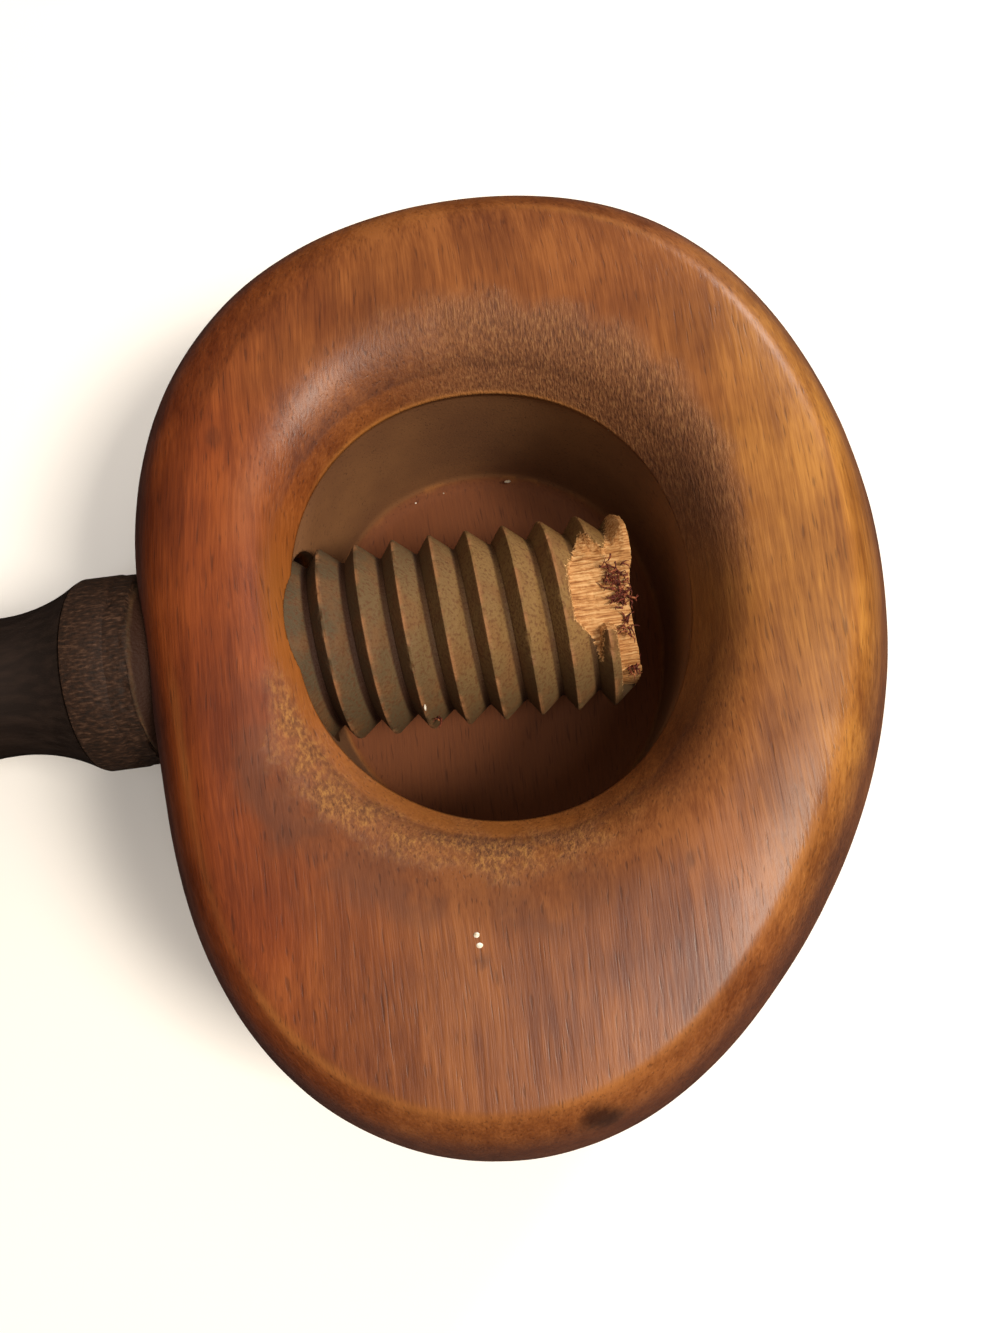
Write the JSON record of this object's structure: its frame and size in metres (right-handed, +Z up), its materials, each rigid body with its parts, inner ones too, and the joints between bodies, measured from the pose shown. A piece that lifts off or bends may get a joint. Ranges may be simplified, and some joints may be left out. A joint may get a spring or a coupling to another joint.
{
  "type": "wooden screw nutcracker",
  "caption": "Hand-turned wooden screw nutcracker: a pebble-shaped block with an oval well for the nut and a coarse wooden screw that presses it against the well's far wall.",
  "frame": {"origin": "on the flat underside, straight below the screw's axis at the middle of the well", "axes": "+Z up, out of the well's mouth; +X along the screw from the handle to the tip; +Y across the screw"},
  "size_m": [0.1726, 0.1249, 0.047],
  "materials": {
    "block_wood": "worn semi-gloss varnish, reddish brown",
    "screw_wood": "bare, greyed by handling, raw where the tip is torn",
    "handle_wood": "smooth dark stain",
    "tenon_wood": "bare"
  },
  "bodies": {
    "bowl": {"block": "block_wood"},
    "carriage": {"tenon": "tenon_wood"},
    "turning": {"screw": "screw_wood", "handle": "handle_wood"}
  },
  "joints": [
    {"name": "screw_travel", "type": "slide", "parent": "bowl", "child": "carriage", "axis": [-1, 0, 0], "range_m": [-0.0003, 0.0431]},
    {"name": "handle_turn", "type": "hinge", "parent": "carriage", "child": "turning", "pos_m": [0, 0, 0.03], "axis": [-1, 0, 0], "range_deg": [0, 3240]}
  ],
  "couplings": [
    {"joint": "screw_travel", "follows": "handle_turn", "m_per_rad": 0.00075599}
  ]
}
